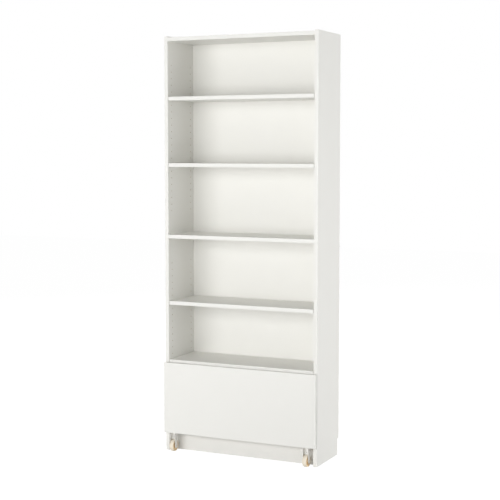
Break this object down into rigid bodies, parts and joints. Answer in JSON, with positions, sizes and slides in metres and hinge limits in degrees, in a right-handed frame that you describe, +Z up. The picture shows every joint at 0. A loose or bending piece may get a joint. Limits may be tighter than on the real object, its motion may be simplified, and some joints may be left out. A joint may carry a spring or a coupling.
{
  "type": "bookcase with a bottom drawer",
  "caption": "Tall narrow white bookcase: open shelf compartments over one wide handleless drawer whose front rolls on small casters.",
  "frame": {"origin": "on the floor, under the middle of the footprint (case, drawer front and the wheels that stand 16.5 mm proud of it)", "axes": "+Z up, +X to the right seen from the front, +Y to the back: the front faces -Y"},
  "size_m": [0.8, 0.3166, 2.02],
  "materials": {
    "white_foil": "particle board faced and edged with smooth white foil, low satin",
    "drawer_foil": "thin particle board faced with white foil, satin",
    "white_hardboard": "thin hardboard, white lacquered front face",
    "pin_steel": "bright zinc-plated steel",
    "cam_zinc": "die-cast zinc, dull",
    "screw_steel": "zinc-plated steel",
    "zinc_steel": "pressed zinc-plated steel sheet",
    "tan_hub": "moulded tan plastic",
    "cream_tyre": "soft cream tread, satin",
    "glide_plastic": "moulded plastic"
  },
  "bodies": {
    "case": {"side_panel_left": "white_foil", "side_panel_right": "white_foil", "top_panel": "white_foil", "fixed_shelf": "white_foil", "bottom_panel": "white_foil", "plinth": "white_foil", "back_panel": "white_hardboard", "adjustable_shelf_1": "white_foil", "adjustable_shelf_2": "white_foil", "adjustable_shelf_3": "white_foil", "adjustable_shelf_4": "white_foil", "shelf_pin_1_left_front": "pin_steel", "shelf_pin_1_left_rear": "pin_steel", "shelf_pin_1_right_front": "pin_steel", "shelf_pin_1_right_rear": "pin_steel", "shelf_pin_2_left_front": "pin_steel", "shelf_pin_2_left_rear": "pin_steel", "shelf_pin_2_right_front": "pin_steel", "shelf_pin_2_right_rear": "pin_steel", "shelf_pin_3_left_front": "pin_steel", "shelf_pin_3_left_rear": "pin_steel", "shelf_pin_3_right_front": "pin_steel", "shelf_pin_3_right_rear": "pin_steel", "shelf_pin_4_left_front": "pin_steel", "shelf_pin_4_left_rear": "pin_steel", "shelf_pin_4_right_front": "pin_steel", "shelf_pin_4_right_rear": "pin_steel", "cam_lock_top_panel_1": "cam_zinc", "cam_lock_top_panel_2": "cam_zinc", "cam_lock_top_panel_3": "cam_zinc", "cam_lock_top_panel_4": "cam_zinc", "cam_lock_fixed_shelf_1": "cam_zinc", "cam_lock_fixed_shelf_2": "cam_zinc", "cam_lock_fixed_shelf_3": "cam_zinc", "cam_lock_fixed_shelf_4": "cam_zinc", "cam_lock_bottom_panel_1": "cam_zinc", "cam_lock_bottom_panel_2": "cam_zinc", "cam_lock_bottom_panel_3": "cam_zinc", "cam_lock_bottom_panel_4": "cam_zinc"},
    "drawer": {"drawer_front": "white_foil", "drawer_back": "drawer_foil", "drawer_bottom": "white_hardboard", "drawer_side_left": "drawer_foil", "drawer_side_right": "drawer_foil", "drawer_glide_left": "glide_plastic", "drawer_glide_right": "glide_plastic", "caster_bracket_left": "zinc_steel", "caster_bracket_right": "zinc_steel", "caster_axle_left": "screw_steel", "caster_axle_right": "screw_steel", "caster_screw_left_1": "screw_steel", "caster_screw_left_2": "screw_steel", "caster_screw_right_1": "screw_steel", "caster_screw_right_2": "screw_steel"},
    "caster_wheel_left": {"caster_hub_left": "tan_hub", "caster_tyre_left": "cream_tyre"},
    "caster_wheel_right": {"caster_hub_right": "tan_hub", "caster_tyre_right": "cream_tyre"}
  },
  "joints": [
    {"name": "drawer_slide", "type": "slide", "parent": "case", "child": "drawer", "axis": [0, -1, 0], "range_m": [0, 0.175]},
    {"name": "caster_spin_left", "type": "hinge", "parent": "drawer", "child": "caster_wheel_left", "pos_m": [-0.352, -0.12975, 0.0285], "axis": [1, 0, 0], "continuous": true},
    {"name": "caster_spin_right", "type": "hinge", "parent": "drawer", "child": "caster_wheel_right", "pos_m": [0.352, -0.12975, 0.0285], "axis": [1, 0, 0], "continuous": true}
  ],
  "couplings": [
    {"joint": "caster_spin_left", "follows": "drawer_slide", "rad_per_m": 35.088},
    {"joint": "caster_spin_right", "follows": "drawer_slide", "rad_per_m": 35.088}
  ]
}
